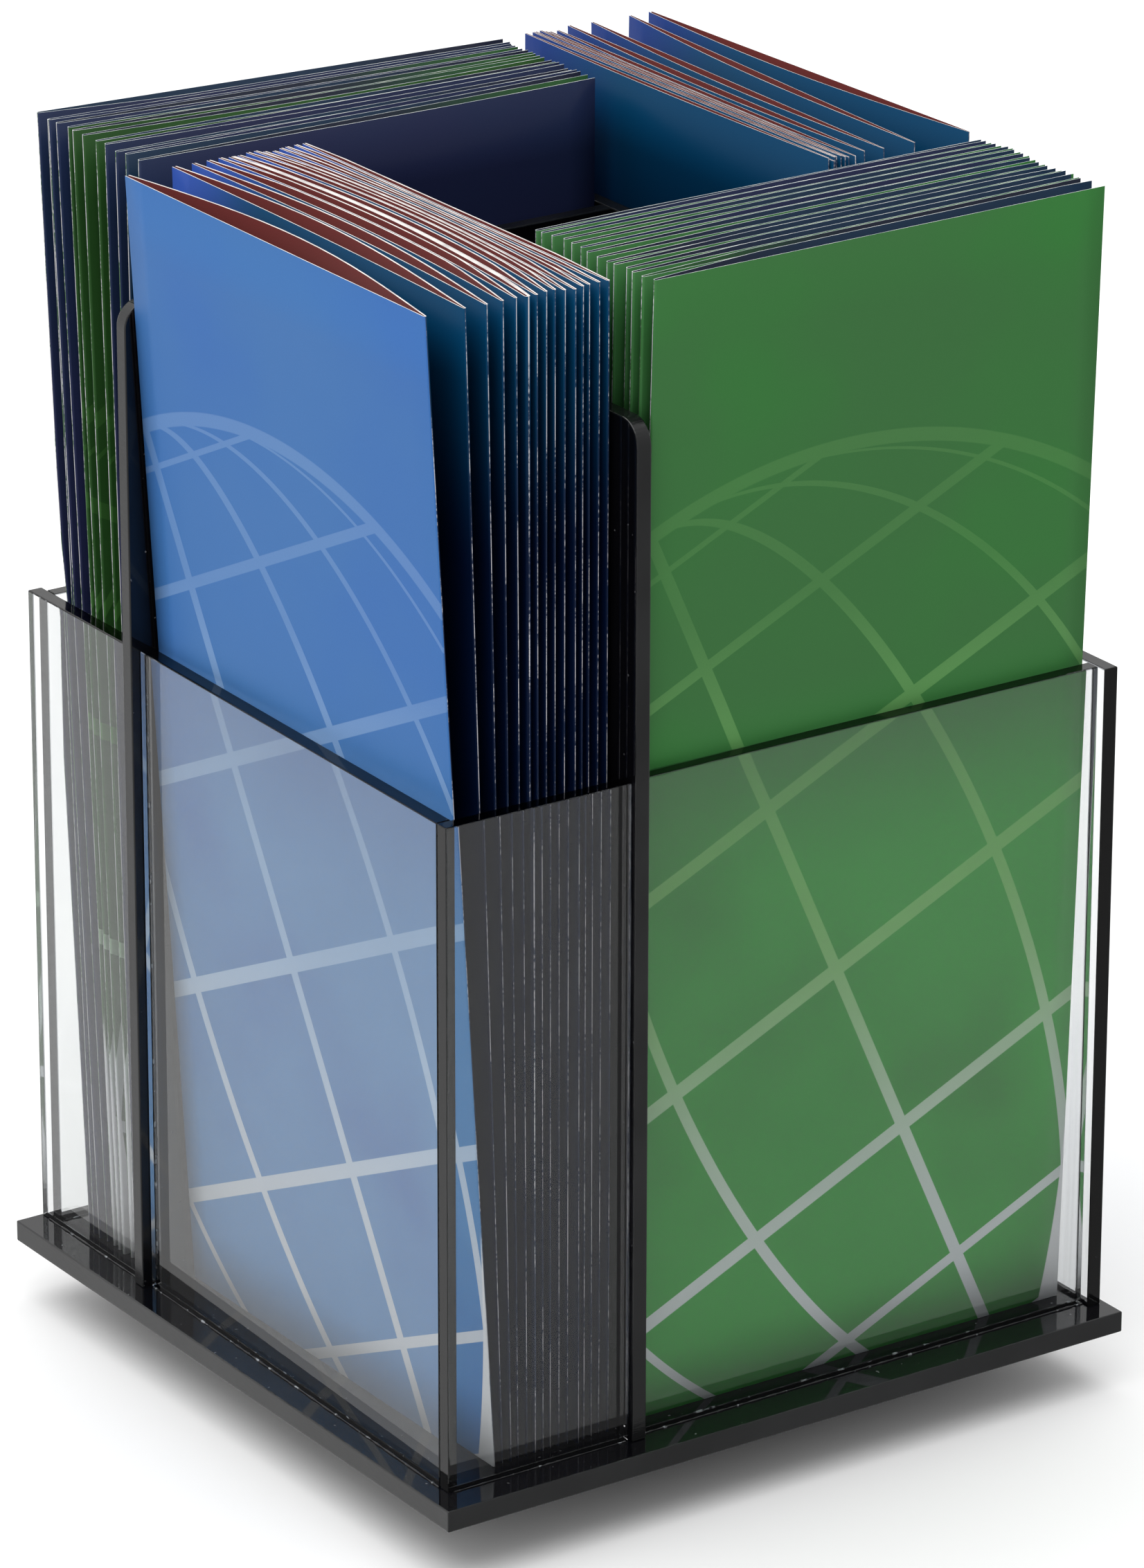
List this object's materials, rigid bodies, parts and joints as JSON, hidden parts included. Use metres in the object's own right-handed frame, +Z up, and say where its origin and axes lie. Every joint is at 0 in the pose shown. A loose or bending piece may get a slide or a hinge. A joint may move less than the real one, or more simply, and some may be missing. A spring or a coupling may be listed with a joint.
{
  "type": "revolving brochure holder",
  "caption": "Square counter-top holder on a turntable foot, with clear-fronted pockets in a pinwheel round an open well, filled with folded brochures.",
  "frame": {"origin": "middle of the resting plane, on the turning axis", "axes": "+Z up along the turning axis; -Y towards the front pocket, -X towards the left pocket"},
  "size_m": [0.157, 0.157, 0.2443],
  "materials": {
    "black_acrylic": "polished black acrylic sheet",
    "clear_acrylic": "clear acrylic sheet, flame-polished edges",
    "rubber": "matt rubber",
    "steel": "bright steel",
    "zinc_plated": "zinc-plated pressed steel",
    "green_print": "coated printed paper, green cover and navy inside",
    "blue_print": "coated printed paper, blue cover and maroon inside"
  },
  "bodies": {
    "foot": {"foot_disc": "black_acrylic", "foot_pads": "rubber", "foot_screws": "steel", "foot_nuts": "steel", "lower_bearing_plate": "zinc_plated", "bearing_eyelet": "zinc_plated"},
    "ball_ring": {"bearing_balls": "steel"},
    "turntable": {"upper_bearing_plate": "zinc_plated", "base_screws": "steel", "base_plate": "black_acrylic", "front_divider": "black_acrylic", "right_divider": "black_acrylic", "rear_divider": "black_acrylic", "left_divider": "black_acrylic", "front_pocket_face": "clear_acrylic", "right_pocket_face": "clear_acrylic", "rear_pocket_face": "clear_acrylic", "left_pocket_face": "clear_acrylic", "front_pocket_side": "clear_acrylic", "right_pocket_side": "clear_acrylic", "rear_pocket_side": "clear_acrylic", "left_pocket_side": "clear_acrylic"},
    "front_lead_brochure": {"front_lead_brochure": "green_print"},
    "front_stack": {"front_brochure_stack": "green_print"},
    "right_lead_brochure": {"right_lead_brochure": "blue_print"},
    "right_stack": {"right_brochure_stack": "blue_print"},
    "rear_lead_brochure": {"rear_lead_brochure": "green_print"},
    "rear_stack": {"rear_brochure_stack": "green_print"},
    "left_lead_brochure": {"left_lead_brochure": "blue_print"},
    "left_stack": {"left_brochure_stack": "blue_print"}
  },
  "joints": [
    {"name": "turntable_spin", "type": "hinge", "parent": "foot", "child": "turntable", "pos_m": [0, 0, 0.0083], "axis": [0, 0, 1], "continuous": true},
    {"name": "ball_ring_roll", "type": "hinge", "parent": "foot", "child": "ball_ring", "pos_m": [0, 0, 0.0083], "axis": [0, 0, 1], "continuous": true},
    {"name": "front_lead_brochure_lift", "type": "slide", "parent": "turntable", "child": "front_lead_brochure", "axis": [0, -0.0268, 0.9996], "range_m": [0, 0.15]},
    {"name": "front_stack_lift", "type": "slide", "parent": "turntable", "child": "front_stack", "axis": [0, 0, 1], "range_m": [0, 0.15]},
    {"name": "right_lead_brochure_lift", "type": "slide", "parent": "turntable", "child": "right_lead_brochure", "axis": [0.0197, 0, 0.9998], "range_m": [0, 0.15]},
    {"name": "right_stack_lift", "type": "slide", "parent": "turntable", "child": "right_stack", "axis": [0, 0, 1], "range_m": [0, 0.15]},
    {"name": "rear_lead_brochure_lift", "type": "slide", "parent": "turntable", "child": "rear_lead_brochure", "axis": [0, 0.0421, 0.9991], "range_m": [0, 0.15]},
    {"name": "rear_stack_lift", "type": "slide", "parent": "turntable", "child": "rear_stack", "axis": [0, 0, 1], "range_m": [0, 0.15]},
    {"name": "left_lead_brochure_lift", "type": "slide", "parent": "turntable", "child": "left_lead_brochure", "axis": [-0.0535, 0, 0.9986], "range_m": [0, 0.15]},
    {"name": "left_stack_lift", "type": "slide", "parent": "turntable", "child": "left_stack", "axis": [0, 0, 1], "range_m": [0, 0.15]}
  ],
  "couplings": [
    {"joint": "ball_ring_roll", "follows": "turntable_spin", "ratio": 0.5}
  ]
}
